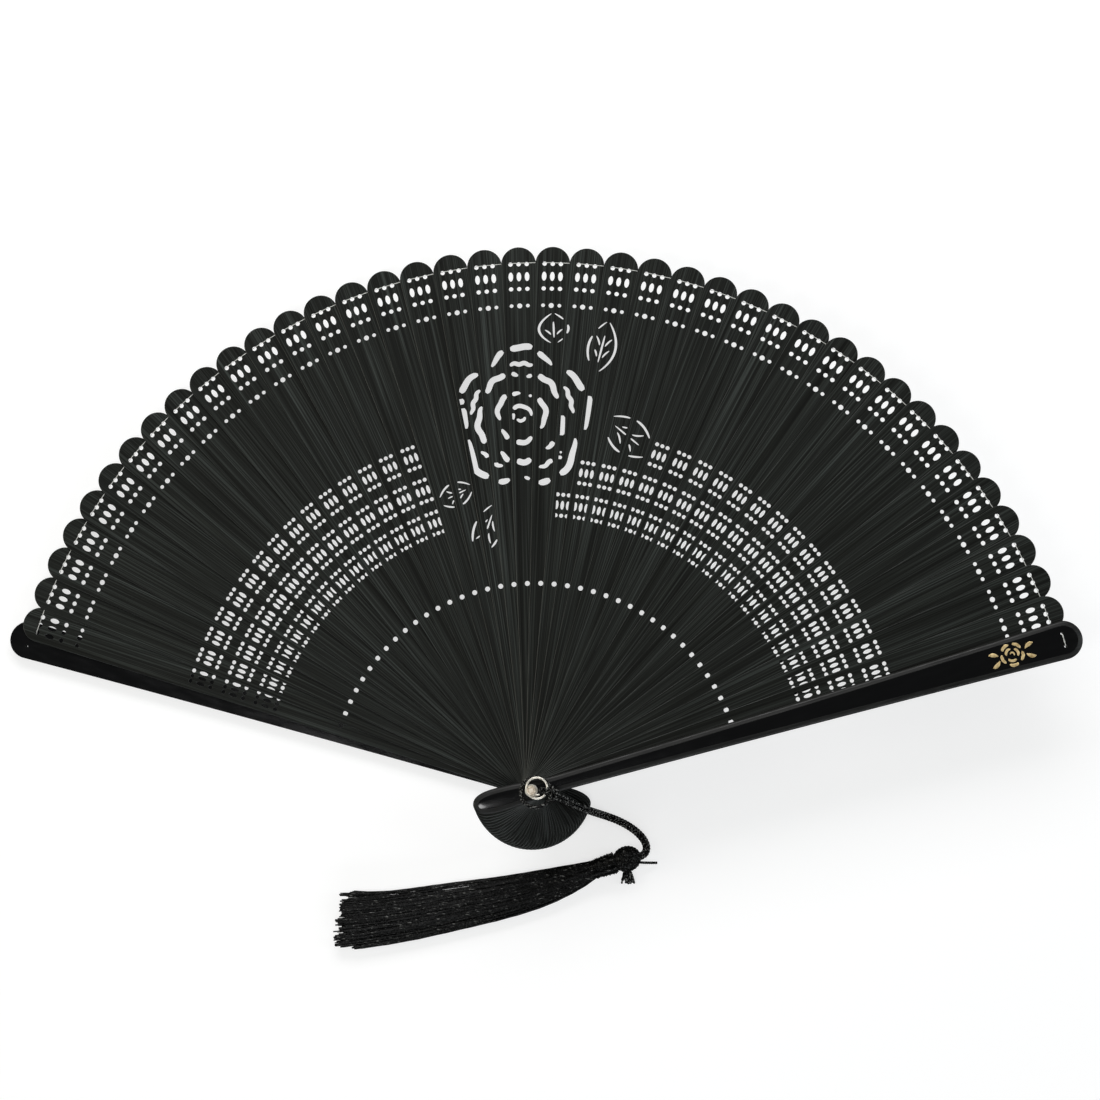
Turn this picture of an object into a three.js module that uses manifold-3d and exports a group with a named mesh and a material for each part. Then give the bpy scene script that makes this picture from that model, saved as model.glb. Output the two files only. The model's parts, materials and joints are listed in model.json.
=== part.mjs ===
// A brise folding fan, opened and laid flat: forty pierced wooden sticks between two guards,
// turning on one rivet, with a wire ring and a tassel on a doubled cord at the rivet.
// Millimetres and degrees. The rivet's axis is Z, and z = 0 is the surface that the fan lies on.
import * as THREE from 'three';
import { mergeVertices } from 'three/addons/utils/BufferGeometryUtils.js';
import Module from 'manifold-3d';

const wasm = await Module();
wasm.setup();

// The stack of leaves
const stickCount = 40;
const stickThickness = 0.5;
const layerGap = 0.1;
const guardThickness = 3;

// How far the leaves are spread, as angles from +X
const frontGuardAngle = 15.8;
const rearGuardAngle = 163.7;
const firstStickAngle = 161.45;
const stickPitch = 3.66;
const handSpread = 0.65;
const handSpreadPeak = 7.9;

// The leaves' outline, measured from the rivet
const headLength = 21.4;
const headHalf = 4.3;
const headRound = 13;
const neckHalf = 3;
const neckAt = 9;
const waistHalf = 4.2;
const waistAt = 105;
const stickTipHalf = 6.4;
const stickShoulder = 193;
const guardTipHalf = 6.9;
const guardOverhang = 2.5;
const guardShoulder = stickShoulder + guardOverhang;
const guardBevel = 1.2;

// Thread holes near the tips
const threadHole = 0.82;
const threadRow = stickShoulder;
const threadSpacing = 3;
const stitchHole = 0.55;
const stitchRow = guardShoulder;
const stitchHalf = 2.35;
const stitchWidth = 0.4;
const stitchHeight = 0.2;

// Metal rose let on to the front guard's outer face
const roseInset = 19;
const roseLength = 17;
const roseWidth = 8.8;
const roseThickness = 0.3;

// Rivet
const pinRadius = 1;
const pinClearance = 0.35;
const rivetHeadRadius = 2.3;
const rivetHeadHeight = 0.7;
const headClearance = 0.3;
const collarWall = 0.5;
const collarGap = 0.15;
const collarHeight = 1.1;
const seatGap = 0.05;

// Wire parts on the rivet
const wireRadius = 0.38;
const eyeGap = 0.52;
const eyeRadius = pinRadius + eyeGap + wireRadius;
const eyeTurns = 1.25;
const eyeRise = 0.8;
const eyeTailAngle = 280;
const eyeTailLength = 2.6;
const ringRadius = 3.7;
const ringPlay = 0.17;
const ringAngle = 25;

// Cord
const cordDiameter = 1.4;
const strandSpacing = 1.52;
const hitchRadius = 5.25;
const hitchWire = 0.65;
const hitchCentre = [1.5, -0.6];
const knotCentre = [3.75, 0.2];
const knotRadius = 1.15;
const knotRise = 1.8;
const cordRoute = [
  [5.15, 0, 33.7], [6.2, -0.5, 33.85], [7.5, -1.2, 33.45], [8.4, -1.75, 32.3], [8.95, -2.1, 30.4],
  [9.1, -2.3, 27], [9.15, -2.4, 22], [9.2, -2.5, 17], [9.5, -2.7, 13.4], [10.5, -3.1, 11.1],
  [12.5, -4, 9.8], [15.6, -5.5, 8.4], [18.6, -6.9, 6.9], [21.4, -7.9, 5], [24, -8.8, 2.7],
  [27, -9.8, 1.1], [30.4, -11.1, 0.8], [34, -12.9, 0.8], [37.3, -15.2, 0.8], [39.9, -18, 0.8],
  [41, -20.8, 1.3], [40.4, -22.9, 2.6],
];
const cordSteps = 36;

// Tassel, lying on the surface
const tasselHeadCentre = [33.8, -24.9, 4.8];
const tasselHeadSize = [5.3, 4.7, 4.6];
const tasselAngle = 198;
const tasselGap = 0.3;
const bindingRadius = 3.7;
const bindingLength = 8;
const skirtHeight = 5;
const skirtFloor = 0.2;
const skirtBevel = 1.6;
const skirtTopBend = [-31.4, -34.2];
const skirtTopEnd = [-66.8, -36.8];
const skirtTopCorner = [-71.5, -37.2];
const skirtCut = [[-73.6, -41], [-73.6, -55]];
const skirtLowCorner = [-72.6, -58.2];
const skirtLowEnd = [-69.6, -58.6];
const skirtLowBends = [[-44, -55.2], [-18, -50.6]];
const skirtBelly = [0, -45.4];
const skirtBellyBend = [11, -41];
const endRadius = 0.55;
const endStart = [39.35, -26.3, 3.2];
const endTip = [44.8, -26.5, 1];
const tuftCentre = [34, -32, 1.3];
const tuftSize = [5, 4.4, 2.2];

const lacquer = { color: 0x0c0c0d, roughness: 0.25, metalness: 0 };
const wood = { color: 0x25271f, roughness: 0.6, metalness: 0 };
const gold = { color: 0xc8af78, roughness: 0.35, metalness: 0.9 };
const pinMetal = { color: 0xdccdb9, roughness: 0.35, metalness: 0.8 };
const wire = { color: 0xc9c3b6, roughness: 0.3, metalness: 0.9 };
const silk = { color: 0x0a0a0a, roughness: 0.5, metalness: 0 };
const thread = { color: 0xb9b9b3, roughness: 0.6, metalness: 0 };

const group = new THREE.Group();

function add(name, geometry, finish) {
  const mesh = new THREE.Mesh(geometry, new THREE.MeshStandardMaterial(finish));
  mesh.name = name;
  group.add(mesh);
  return mesh;
}

function solid(geometry) {
  const bare = geometry.clone();
  bare.deleteAttribute('normal');
  bare.deleteAttribute('uv');
  const merged = mergeVertices(bare, 1e-4);
  return new wasm.Manifold(new wasm.Mesh({
    numProp: 3,
    vertProperties: new Float32Array(merged.attributes.position.array),
    triVerts: new Uint32Array(merged.index.array),
  }));
}

function geometryOf(body) {
  const mesh = body.getMesh();
  const geometry = new THREE.BufferGeometry();
  geometry.setAttribute('position', new THREE.BufferAttribute(mesh.vertProperties, 3));
  geometry.setIndex(new THREE.BufferAttribute(mesh.triVerts, 1));
  geometry.computeVertexNormals();
  return geometry;
}

function upright(radius, bottom, top, sides, x = 0, y = 0) {
  const geometry = new THREE.CylinderGeometry(radius, radius, top - bottom, sides);
  geometry.rotateX(Math.PI / 2);
  geometry.translate(x, y, (bottom + top) / 2);
  return geometry;
}

// A leaf points along +X from the rivet: a rounded head behind it, a slender neck, a blade that
// widens evenly, and a half-round tip.
function leafShape(tipHalf, shoulder) {
  const shape = new THREE.Shape();
  shape.moveTo(-headLength, 0);
  shape.quadraticCurveTo(-headLength, -headHalf, -headRound, -headHalf);
  shape.bezierCurveTo(-headRound / 4, -headHalf, 0, -neckHalf, neckAt, -neckHalf);
  shape.quadraticCurveTo(waistAt, -waistHalf, shoulder, -tipHalf);
  shape.absarc(shoulder, 0, tipHalf, -Math.PI / 2, Math.PI / 2, false);
  shape.quadraticCurveTo(waistAt, waistHalf, neckAt, neckHalf);
  shape.bezierCurveTo(0, neckHalf, -headRound / 4, headHalf, -headRound, headHalf);
  shape.quadraticCurveTo(-headLength, headHalf, -headLength, 0);
  return shape;
}

function roundHole(x, y, radius, sides) {
  const points = [];
  for (let k = 0; k < sides; k += 1) {
    const turn = (2 * Math.PI * k) / sides;
    points.push(new THREE.Vector2(x + radius * Math.cos(turn), y - radius * Math.sin(turn)));
  }
  return new THREE.Path(points);
}

function stickAngle(number) {
  const wave = Math.cos((2 * Math.PI * (number - handSpreadPeak)) / stickCount);
  return firstStickAngle - stickPitch * (number - 1) + handSpread * wave;
}

const layerPitch = stickThickness + layerGap;
const firstStickBottom = guardThickness + layerGap;
const frontGuardBottom = firstStickBottom + stickCount * layerPitch;
const stackTop = frontGuardBottom + guardThickness;
const pinHole = pinRadius + pinClearance;

// Sticks, each on top of its left-hand neighbour
const stickShape = leafShape(stickTipHalf, stickShoulder);
stickShape.holes.push(roundHole(0, 0, pinHole, 10));
for (const side of [-1, 0, 1]) {
  stickShape.holes.push(roundHole(threadRow, side * threadSpacing, threadHole, 6));
}
const stickGeometry = new THREE.ExtrudeGeometry(stickShape, {
  depth: stickThickness, bevelEnabled: false, curveSegments: 4,
});
for (let number = 1; number <= stickCount; number += 1) {
  const stick = add(`stick_${String(number).padStart(2, '0')}`, stickGeometry, wood);
  stick.rotation.z = THREE.MathUtils.degToRad(stickAngle(number));
  stick.position.z = firstStickBottom + (number - 1) * layerPitch;
}

// A guard is flat inside and rounded over outside, at z = guardThickness
function guardSolid() {
  const full = new THREE.ExtrudeGeometry(leafShape(guardTipHalf, guardShoulder), {
    depth: 2 * (guardThickness - guardBevel), curveSegments: 6,
    bevelThickness: guardBevel, bevelSize: guardBevel, bevelOffset: -guardBevel, bevelSegments: 3,
  });
  full.translate(0, 0, guardBevel - guardThickness);
  const reach = guardShoulder + guardTipHalf;
  const outside = new THREE.BoxGeometry(4 * reach, 8 * guardTipHalf, 2 * guardThickness);
  outside.translate(0, 0, guardThickness);
  let guard = solid(full).intersect(solid(outside));
  guard = guard.subtract(solid(upright(pinHole, -1, guardThickness + 1, 12)));
  for (const side of [-1, 1]) {
    const hole = upright(stitchHole, -1, guardThickness + 1, 8, stitchRow, side * stitchHalf);
    guard = guard.subtract(solid(hole));
  }
  return guard;
}

const frontGuard = add('front_guard', geometryOf(guardSolid()), lacquer);
frontGuard.rotation.z = THREE.MathUtils.degToRad(frontGuardAngle);
frontGuard.position.z = frontGuardBottom;

const pocketFloor = guardThickness - rivetHeadHeight - headClearance;
const headPocket = upright(rivetHeadRadius + headClearance, pocketFloor, guardThickness + 1, 16);
const rearGuardGeometry = geometryOf(guardSolid().subtract(solid(headPocket)));
rearGuardGeometry.rotateX(Math.PI);
rearGuardGeometry.translate(0, 0, guardThickness);
const rearGuard = add('rear_guard', rearGuardGeometry, lacquer);
rearGuard.rotation.z = THREE.MathUtils.degToRad(rearGuardAngle);

// The rose and the stitch that ends the binding thread lie on the front guard
const roseShape = new THREE.Shape();
roseShape.absellipse(guardShoulder - roseInset, 0, roseLength / 2, roseWidth / 2, 0, 2 * Math.PI, false, 0);
const roseGeometry = new THREE.ExtrudeGeometry(roseShape, {
  depth: roseThickness, bevelEnabled: false, curveSegments: 12,
});
const rose = add('rose_inlay', roseGeometry, gold);
rose.rotation.z = THREE.MathUtils.degToRad(frontGuardAngle);
rose.position.z = stackTop + seatGap;

const stitchGeometry = new THREE.BoxGeometry(stitchWidth, 2 * stitchHalf, stitchHeight);
stitchGeometry.translate(stitchRow, 0, stitchHeight / 2);
const stitch = add('thread_stitch', stitchGeometry, thread);
stitch.rotation.z = THREE.MathUtils.degToRad(frontGuardAngle);
stitch.position.z = stackTop + seatGap;

// Rivet: the flush rear head and shank are one piece, and a collar is pressed on its front end
const eyeBottom = stackTop + seatGap + wireRadius;
const eyeTop = eyeBottom + eyeTurns * eyeRise + wireRadius;
const ringLevel = eyeTop + seatGap + wireRadius;
const collarBottom = ringLevel + wireRadius + 2 * seatGap;
const pinTop = collarBottom + collarHeight + seatGap;

function turned(profile, sides) {
  const points = profile.map(([radius, height]) => new THREE.Vector2(radius, height));
  const geometry = new THREE.LatheGeometry(points, sides);
  geometry.rotateX(Math.PI / 2);
  return geometry;
}

add('rivet_pin', turned([
  [0, 0], [rivetHeadRadius, 0], [rivetHeadRadius, rivetHeadHeight], [pinRadius, rivetHeadHeight],
  [pinRadius, pinTop], [0, pinTop],
], 16), pinMetal);

const collarInner = pinRadius + collarGap;
const collarOuter = collarInner + collarWall;
const collarTop = collarBottom + collarHeight;
add('rivet_collar', turned([
  [collarInner, collarBottom], [collarOuter, collarBottom], [collarOuter, collarTop],
  [collarInner, collarTop], [collarInner, collarBottom],
], 16), pinMetal);

// Swept round wire or cord
function swept(curve, radius, steps, sides) {
  const section = new THREE.Shape(roundHole(0, 0, radius, sides).getPoints().reverse());
  return new THREE.ExtrudeGeometry(section, { steps, bevelEnabled: false, extrudePath: curve });
}

// Wire eye: wound round the rivet, and ending in a straight tail
const eyePoints = [];
const eyePointsPerTurn = 12;
const eyePointCount = Math.round(eyeTurns * eyePointsPerTurn);
const eyeLastTurn = THREE.MathUtils.degToRad(eyeTailAngle);
for (let k = 0; k <= eyePointCount; k += 1) {
  const turn = eyeLastTurn - (2 * Math.PI * (eyePointCount - k)) / eyePointsPerTurn;
  const height = eyeBottom + (eyeTurns * eyeRise * k) / eyePointCount;
  eyePoints.push(new THREE.Vector3(eyeRadius * Math.cos(turn), eyeRadius * Math.sin(turn), height));
}
const eyeEnd = eyePoints[eyePointCount];
const tail = new THREE.Vector3(-Math.sin(eyeLastTurn), Math.cos(eyeLastTurn), 0);
for (const share of [0.5, 1]) {
  eyePoints.push(eyeEnd.clone().addScaledVector(tail, share * eyeTailLength));
}
add('wire_eye', swept(new THREE.CatmullRomCurve3(eyePoints), wireRadius, 24, 8), wire);

// Ring: hangs round the rivet above the eye, drawn to one side by the cord
const ringOffset = ringRadius - wireRadius - pinRadius - ringPlay;
const ringTurn = THREE.MathUtils.degToRad(ringAngle);
const ring = add('ring', new THREE.TorusGeometry(ringRadius, wireRadius, 8, 24), wire);
ring.position.set(ringOffset * Math.cos(ringTurn), ringOffset * Math.sin(ringTurn), ringLevel);

// Cord hitch: the doubled cord's bight round the rivet, drawn up into a small knot inside the ring
const hitchLevel = stackTop + seatGap + hitchWire;
const loop = new THREE.TorusGeometry(hitchRadius, hitchWire, 8, 24);
loop.translate(hitchCentre[0], hitchCentre[1], hitchLevel);
const knot = new THREE.SphereGeometry(1, 12, 8);
knot.scale(knotRadius, knotRadius, knotRise);
knot.translate(knotCentre[0], knotCentre[1], stackTop + seatGap + knotRise);
const crossingEnd = hitchCentre[0] + hitchRadius;
const crossing = new THREE.CylinderGeometry(hitchWire, hitchWire, crossingEnd - knotCentre[0], 8);
crossing.rotateZ(Math.PI / 2);
crossing.translate((crossingEnd + knotCentre[0]) / 2, knotCentre[1], hitchLevel);
add('cord_hitch', geometryOf(solid(loop).add(solid(knot)).add(solid(crossing))), silk);

// The two strands of the cord lie side by side from the knot to the tassel
function strandCurve(side) {
  const centre = cordRoute.map(([x, y, z]) => new THREE.Vector3(x, y, z));
  const points = centre.map((point, k) => {
    const before = centre[Math.max(k - 1, 0)];
    const after = centre[Math.min(k + 1, centre.length - 1)];
    const across = new THREE.Vector3(before.y - after.y, after.x - before.x, 0).normalize();
    return point.clone().addScaledVector(across, (side * strandSpacing) / 2);
  });
  return new THREE.CatmullRomCurve3(points);
}
add('cord_strand_left', swept(strandCurve(1), cordDiameter / 2, cordSteps, 8), silk);
add('cord_strand_right', swept(strandCurve(-1), cordDiameter / 2, cordSteps, 8), silk);

// Tassel
const tasselTurn = THREE.MathUtils.degToRad(tasselAngle);
const head = new THREE.SphereGeometry(1, 14, 10);
head.rotateX(Math.PI / 2);
head.scale(...tasselHeadSize);
const tasselHead = add('tassel_head', head, silk);
tasselHead.rotation.z = tasselTurn;
tasselHead.position.set(...tasselHeadCentre);

function alongTassel(distance) {
  const [x, y] = tasselHeadCentre;
  return [x + distance * Math.cos(tasselTurn), y + distance * Math.sin(tasselTurn)];
}
const bindingStart = tasselHeadSize[0] + tasselGap;
const binding = new THREE.CylinderGeometry(bindingRadius, bindingRadius, bindingLength, 12);
binding.rotateZ(Math.PI / 2);
const bindingMesh = add('tassel_binding', binding, silk);
bindingMesh.rotation.z = tasselTurn;
bindingMesh.position.set(...alongTassel(bindingStart + bindingLength / 2), bindingRadius + skirtFloor);

// The skirt's strands fan out from the binding to a ragged end, curving with the tassel
const skirtShape = new THREE.Shape();
const [neckX, neckY] = alongTassel(bindingStart + bindingLength + tasselGap);
const neckSpan = [-bindingRadius * Math.sin(tasselTurn), bindingRadius * Math.cos(tasselTurn)];
skirtShape.moveTo(neckX - neckSpan[0], neckY - neckSpan[1]);
skirtShape.quadraticCurveTo(...skirtTopBend, ...skirtTopEnd);
skirtShape.quadraticCurveTo(...skirtTopCorner, ...skirtCut[0]);
skirtShape.lineTo(...skirtCut[1]);
skirtShape.quadraticCurveTo(...skirtLowCorner, ...skirtLowEnd);
skirtShape.bezierCurveTo(...skirtLowBends[0], ...skirtLowBends[1], ...skirtBelly);
skirtShape.quadraticCurveTo(...skirtBellyBend, neckX + neckSpan[0], neckY + neckSpan[1]);
const skirtGeometry = new THREE.ExtrudeGeometry(skirtShape, {
  depth: skirtHeight - 2 * skirtBevel, curveSegments: 6, bevelThickness: skirtBevel, bevelSize: skirtBevel,
  bevelOffset: -skirtBevel, bevelSegments: 2,
});
skirtGeometry.translate(0, 0, skirtFloor + skirtBevel);
add('tassel_skirt', skirtGeometry, silk);

// The cord's sealed end and the cut tuft beside the tassel's head
const endCurve = new THREE.LineCurve3(new THREE.Vector3(...endStart), new THREE.Vector3(...endTip));
add('cord_end', swept(endCurve, endRadius, 1, 8), silk);
const tuft = new THREE.BoxGeometry(...tuftSize);
tuft.translate(...tuftCentre);
add('tassel_tuft', tuft, silk);

export default group;
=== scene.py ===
"""The looks of an opened folding fan: pierced wooden sticks, lacquered guards, rivet, ring, cord and tassel.

Sizes are in millimetres and become metres where a mesh is made. The lights and the floor's side are
in metres.
"""

import json
import math
import random

import bmesh
import bpy
from mathutils import Matrix, Vector


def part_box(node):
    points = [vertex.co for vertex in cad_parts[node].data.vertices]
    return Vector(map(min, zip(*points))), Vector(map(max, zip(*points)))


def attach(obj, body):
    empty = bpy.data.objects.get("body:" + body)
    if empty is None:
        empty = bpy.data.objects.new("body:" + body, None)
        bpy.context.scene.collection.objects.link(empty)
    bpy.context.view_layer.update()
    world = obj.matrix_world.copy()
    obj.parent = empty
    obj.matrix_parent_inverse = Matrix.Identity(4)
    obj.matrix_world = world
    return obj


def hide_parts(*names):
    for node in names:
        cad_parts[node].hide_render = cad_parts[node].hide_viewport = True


MM = 0.001

# Camera: its film and lens, its place, and its tilt from straight down as a rotation vector in degrees
FILM_WIDTH, LENS = 36, 70.93
CAMERA_PLACE, CAMERA_TILT = (28.33, 9.54, 800), (5.627, 1.624, 0)

# Floor: half its side in metres, how far it lies under the fan, and its own glow
FLOOR_REACH, FLOOR_DROP, FLOOR_GLOW = 3, 0.3, 0.68

# Leaves: the sticks' and the guards' outline, from the rivet outwards
HEAD_LENGTH, HEAD_HALF, HEAD_ROUND = 21.4, 4.3, 13
NECK_AT, NECK_HALF = 9, 3
WAIST_AT, WAIST_HALF = 105, 4.2
STICK_SHOULDER, STICK_TIP_HALF = 193, 6.4
GUARD_SHOULDER, GUARD_TIP_HALF = 195.5, 6.9
FRONT_ANGLE, REAR_ANGLE = 15.8, 163.7
STICK_COUNT, STICK_PITCH = 40, 3.66
STICK_EDGE, STICK_HOLE_EDGE = 0.2, 0.07
GUARD_BEVEL, GUARD_CROWN, GUARD_EDGE, GUARD_HOLE_EDGE = 1.2, 0.22, 0.12, 0.08
PIVOT_HOLE = 1.35
HEAD_POCKET, POCKET_DEPTH = 2.6, 1

# Pierced pattern: (distance from the rivet, sideways positions, half length, half width)
TIP_ROWS = [
    (193, (-3, 0, 3), 0.82, 0.82),
    (188.3, (-3, 0, 3), 1.74, 0.87),
    (183.7, (-3, 0, 3), 0.82, 0.82),
    (177.4, (-3, 3), 0.71, 0.71),
    (177.4, (0,), 0.96, 0.96),
]
# Three bands of slots between dots, on the sticks up to LAST_LOW and from FIRST_HIGH on
BAND_ROWS = [129.15, 116.3, 103.7]
BAND_COLUMNS = (-2.02, 0, 2.02)
BAND_DOT_OFFSET = 3.85
BAND_HALF = 5
BAND_LAST_LOW = 15
BAND_FIRST_HIGH = [26, 23, 22]
SLOT_HALF_LENGTH, SLOT_HALF_WIDTH, DOT = 1.65, 0.66, 0.76
INNER_DOT_AT, INNER_DOT = 74.75, 0.92
# The rose: its middle, how much longer it is than wide, and the half width from which a stroke is broad
ROSE_CENTRE, ROSE_STRETCH = (-4.8, 136), 1.07
BROAD_STROKE = 0.6

# Thread near the tips
THREAD_ROW, THREAD_HOLE = 193, 3
THREAD_WIDTH, THREAD_THICKNESS, THREAD_GAP = 0.24, 0.036, 0.008
STITCH_HALF, STITCH_HOLE, STITCH_RADIUS = 2.35, 0.5, 0.12
INLAY_FROM_SHOULDER = 19

# Rivet and wire
PIN_RADIUS, RIVET_HEAD_RADIUS, RIVET_HEAD_HEIGHT = 1, 2.3, 0.7
COLLAR_GAP, COLLAR_RADIUS = 0.03, 1.65
METAL_RIM = 0.15
AXIS_RADIUS = 0.0005  # a turned solid's inner radius, which stands for none
WIRE_RADIUS, EYE_RADIUS, EYE_TURNS, EYE_RISE = 0.38, 1.9, 1.25, 0.8
EYE_TAIL_ANGLE, EYE_TAIL_LENGTH = 280, 2.6

# Cord: its middle line, from the knot by the rivet to the tassel, and its strands
CORD_ROUTE = [
    (5.15, 0, 33.7), (6.2, -0.5, 33.85), (7.5, -1.2, 33.45), (8.4, -1.75, 32.3), (8.95, -2.1, 30.4),
    (9.1, -2.3, 27), (9.15, -2.4, 22), (9.2, -2.5, 17), (9.5, -2.7, 13.4), (10.5, -3.1, 11.1),
    (12.5, -4, 9.8), (15.6, -5.5, 8.4), (18.6, -6.9, 6.9), (21.4, -7.9, 5), (24, -8.8, 2.7),
    (27, -9.8, 1.1), (30.4, -11.1, 0.8), (34, -12.9, 0.8), (37.3, -15.2, 0.8), (39.9, -18, 0.8),
    (41, -20.8, 1.3), (40.4, -22.9, 2.6),
]
CORD_TUCK = (38.6, -24.2, 3.6)
CORD_DIAMETER, STRAND_SPACING = 1.4, 1.38
PLY_PITCH, ARM_PITCH, END_PITCH = 3.4, 2.6, 2.4
CORD_STEP, HITCH_STEP, END_STEP = 0.22, 0.25, 0.2
HITCH_CENTRE, HITCH_RADIUS = (1.5, -0.6), 5.25
KNOT_CENTRE, KNOT_RADIUS, KNOT_HEIGHT = (3.75, 0.2), 1.15, 3.6
HITCH_ARMS = [
    [(8, 0.2, 33.3), (7.6, 1.1, 32.4), (6.8, 1.7, 31.3), (5.9, 2.2, 30.85)],
    [(8.1, -2.9, 32.7), (7.6, -3.4, 31.8), (6.8, -3.4, 31), (6, -3.2, 30.85)],
]

# Tassel
TASSEL_ANGLE = 198
HEAD_HALF_LENGTH, HEAD_HALF_WIDTH = 4.95, 4.35
BINDING_START, BINDING_END = -5.4, 4.5
NECK_FROM_BINDING, NECK_RADIUS = 3.6, 3.3
SKIRT_FLOOR, SKIRT_HEIGHT = 0.2, 5
YARN_COUNT, YARN_RADIUS, YARN_STEPS = 560, 0.27, 34
LOCK_COUNT = 24
STRAY_FROM, STRAY_LIFT = -0.9, 1.3
TUFT_YARNS = 16

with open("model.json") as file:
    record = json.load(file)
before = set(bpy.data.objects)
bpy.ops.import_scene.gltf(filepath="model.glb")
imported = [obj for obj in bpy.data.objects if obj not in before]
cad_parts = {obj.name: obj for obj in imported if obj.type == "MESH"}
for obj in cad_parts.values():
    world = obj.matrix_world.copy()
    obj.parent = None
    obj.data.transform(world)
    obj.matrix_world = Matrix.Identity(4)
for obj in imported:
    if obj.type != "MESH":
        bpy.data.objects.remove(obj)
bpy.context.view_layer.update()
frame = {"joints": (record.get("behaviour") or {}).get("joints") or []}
rng = random.Random(7)
joints = {joint["child"]: joint for joint in frame["joints"]}


# ---------------------------------------------------------------- camera, floor and light

def make_camera():
    data = bpy.data.cameras.new("camera")
    data.sensor_width = FILM_WIDTH
    data.lens = LENS
    camera = bpy.data.objects.new("camera", data)
    tilt = Vector([math.radians(degrees) for degrees in CAMERA_TILT])
    place = Vector(CAMERA_PLACE) * MM
    camera.matrix_world = Matrix.Translation(place) @ Matrix.Rotation(tilt.length, 4, tilt)
    bpy.context.collection.objects.link(camera)
    bpy.context.scene.camera = camera


def area_light(name, place, target, size, power, colour=(1, 1, 1)):
    data = bpy.data.lights.new(name, "AREA")
    data.shape = "RECTANGLE"
    data.size, data.size_y = size
    data.energy = power
    data.color = colour
    light = bpy.data.objects.new(name, data)
    light.location = place
    light.rotation_euler = (Vector(target) - Vector(place)).to_track_quat("-Z", "Y").to_euler()
    bpy.context.collection.objects.link(light)


def make_floor():
    mesh = bpy.data.meshes.new("floor")
    signs = [(-1, -1), (1, -1), (1, 1), (-1, 1)]
    corners = [(x * FLOOR_REACH, y * FLOOR_REACH, -FLOOR_DROP * MM) for x, y in signs]
    mesh.from_pydata(corners, [], [(0, 1, 2, 3)])
    floor = bpy.data.objects.new("floor", mesh)
    bpy.context.collection.objects.link(floor)
    paper = principled("pale_floor", (0.42, 0.42, 0.42), 0.9, specular=0.1, Emission_Strength=FLOOR_GLOW)
    shader = paper.node_tree.nodes["Principled BSDF"]
    shader.inputs["Emission Color"].default_value = (1, 1, 1, 1)
    mesh.materials.append(paper)
    floor.visible_glossy = False


def make_world():
    world = bpy.data.worlds.new("studio")
    world.use_nodes = True
    background = world.node_tree.nodes["Background"]
    background.inputs["Color"].default_value = (0.95, 0.98, 1, 1)
    background.inputs["Strength"].default_value = 0.06
    bpy.context.scene.world = world
    bpy.context.scene.view_settings.view_transform = "Standard"


def make_lights():
    """Each light's place, target and size are in metres, and its power is in watts."""
    area_light("key", (-0.05, 0.85, 0.6), (0, 0.08, 0), (0.9, 0.4), 7.5)
    area_light("low_front", (0.15, -0.85, 0.24), (0, 0, 0.01), (1, 0.2), 3.5, (0.93, 0.97, 1))
    area_light("right", (1, 0.1, 0.5), (0, 0.08, 0), (0.4, 0.9), 3, (0.9, 0.97, 1))
    area_light("left", (-1, 0.05, 0.35), (0, 0.08, 0), (0.3, 0.8), 3, (1, 0.97, 0.82))
    area_light("overhead", (-0.22, -0.16, 0.8), (-0.02, 0, 0.03), (0.18, 0.26), 1)


# ---------------------------------------------------------------- materials

def principled(name, colour, roughness, metallic=0, specular=0.5, **extra):
    """A material. In an extra socket's name, "_" stands for a space."""
    made = bpy.data.materials.new(name)
    made.use_nodes = True
    shader = made.node_tree.nodes["Principled BSDF"]
    shader.inputs["Base Color"].default_value = (*colour, 1)
    shader.inputs["Roughness"].default_value = roughness
    shader.inputs["Metallic"].default_value = metallic
    shader.inputs["Specular IOR Level"].default_value = specular
    for socket, value in extra.items():
        shader.inputs[socket.replace("_", " ")].default_value = value
    return made


def noise(made, scale, detail=3, size=1):
    """A noise texture over the piece's own coordinates, stretched by scale (cycles per metre)."""
    nodes, links = made.node_tree.nodes, made.node_tree.links
    place = nodes.new("ShaderNodeTexCoord")
    mapping = nodes.new("ShaderNodeMapping")
    mapping.inputs["Scale"].default_value = scale
    texture = nodes.new("ShaderNodeTexNoise")
    texture.inputs["Scale"].default_value = size
    texture.inputs["Detail"].default_value = detail
    links.new(place.outputs["Object"], mapping.inputs["Vector"])
    links.new(mapping.outputs["Vector"], texture.inputs["Vector"])
    return texture.outputs["Fac"]


def ramp(made, factor, stops):
    """A colour ramp from (position, colour) stops."""
    node = made.node_tree.nodes.new("ShaderNodeValToRGB")
    elements = node.color_ramp.elements
    while len(elements) < len(stops):
        elements.new(0.5)
    for element, (position, colour) in zip(elements, stops):
        element.position = position
        element.color = (*colour, 1)
    made.node_tree.links.new(factor, node.inputs["Fac"])
    return node.outputs["Color"]


def set_colour(made, factor, stops):
    """Colours that follow a texture by a ramp."""
    shader = made.node_tree.nodes["Principled BSDF"]
    made.node_tree.links.new(ramp(made, factor, stops), shader.inputs["Base Color"])


def set_roughness(made, factor, low, high):
    """Roughness between low and high, by a texture's middle range."""
    shader = made.node_tree.nodes["Principled BSDF"]
    node = made.node_tree.nodes.new("ShaderNodeMapRange")
    node.inputs["From Min"].default_value = 0.3
    node.inputs["From Max"].default_value = 0.7
    node.inputs["To Min"].default_value = low
    node.inputs["To Max"].default_value = high
    made.node_tree.links.new(factor, node.inputs["Value"])
    made.node_tree.links.new(node.outputs["Result"], shader.inputs["Roughness"])


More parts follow.
